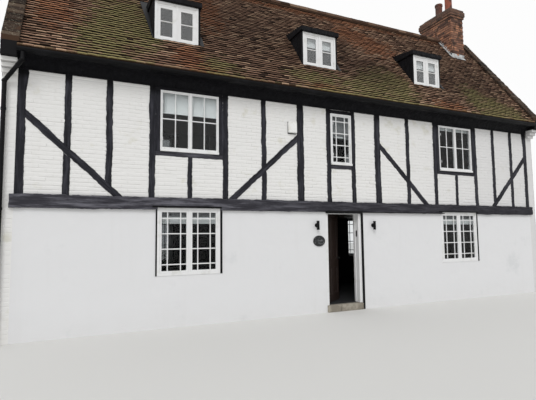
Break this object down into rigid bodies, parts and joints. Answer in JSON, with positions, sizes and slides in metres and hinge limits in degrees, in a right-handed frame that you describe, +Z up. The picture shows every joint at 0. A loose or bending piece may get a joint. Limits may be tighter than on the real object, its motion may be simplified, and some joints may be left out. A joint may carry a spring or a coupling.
{
  "type": "half timbered terraced house, two storeys and attic",
  "caption": "Half timbered house of two storeys and attic between party walls, with tiled roof, dormers, chimney and an open front door.",
  "frame": {"origin": "ground level under the middle of the house's box", "axes": "+X along the street front to the right as seen from the street, -Y out of the street front, +Z up"},
  "size_m": [13.52, 4.92, 9.9024],
  "materials": {
    "black_timber": "matte",
    "painted_brick": "matte",
    "render": "matte",
    "roof_tile": "matte",
    "chimney_brick": "matte",
    "chimney_pot": "matte",
    "lead": "matte",
    "floor_boards": "matte",
    "floor_stone": "matte",
    "white_joinery": "satin",
    "glass": "polished",
    "blind": "matte",
    "door_wood": "satin",
    "black_iron": "satin",
    "black_plastic": "satin",
    "plaque_metal": "satin",
    "white_plastic": "satin"
  },
  "bodies": {
    "house": {"ground_floor": "floor_stone", "doorstep": "floor_stone", "front_wall_left": "render", "front_wall_right": "render", "rear_wall": "render", "party_wall_left": "painted_brick", "party_wall_right": "painted_brick", "parapet_copings": "roof_tile", "bressummers": "black_timber", "wall_plates": "black_timber", "posts": "black_timber", "studs": "black_timber", "braces": "black_timber", "window_rails": "black_timber", "front_infill": "painted_brick", "rear_infill": "painted_brick", "first_floor": "floor_boards", "attic_floor": "floor_boards", "roof_front": "roof_tile", "roof_rear": "roof_tile", "ridge_tiles": "roof_tile", "eaves_cornices": "black_timber", "gutters": "black_plastic", "downpipes": "black_plastic", "dormer_cheeks": "black_timber", "dormer_roofs": "black_timber", "chimney_stack": "chimney_brick", "chimney_cap": "chimney_brick", "chimney_pots": "chimney_pot", "chimney_flashing": "lead", "ground_window_frames": "white_joinery", "first_window_frames": "white_joinery", "dormer_window_frames": "white_joinery", "casements": "white_joinery", "window_glass": "glass", "window_blinds": "blind", "door_frame": "white_joinery", "door_pintles": "black_iron", "side_strips": "black_timber", "wall_lights": "black_iron", "wall_plaque": "plaque_metal", "alarm_box": "white_plastic"},
    "door": {"door_leaf": "door_wood", "door_knob": "black_iron", "door_straps": "black_iron"}
  },
  "joints": [
    {"name": "door_hinge", "type": "hinge", "parent": "house", "child": "door", "pos_m": [-0.39, -1.86, 0.41], "axis": [0, 0, 1], "range_deg": [-36, 59]}
  ]
}
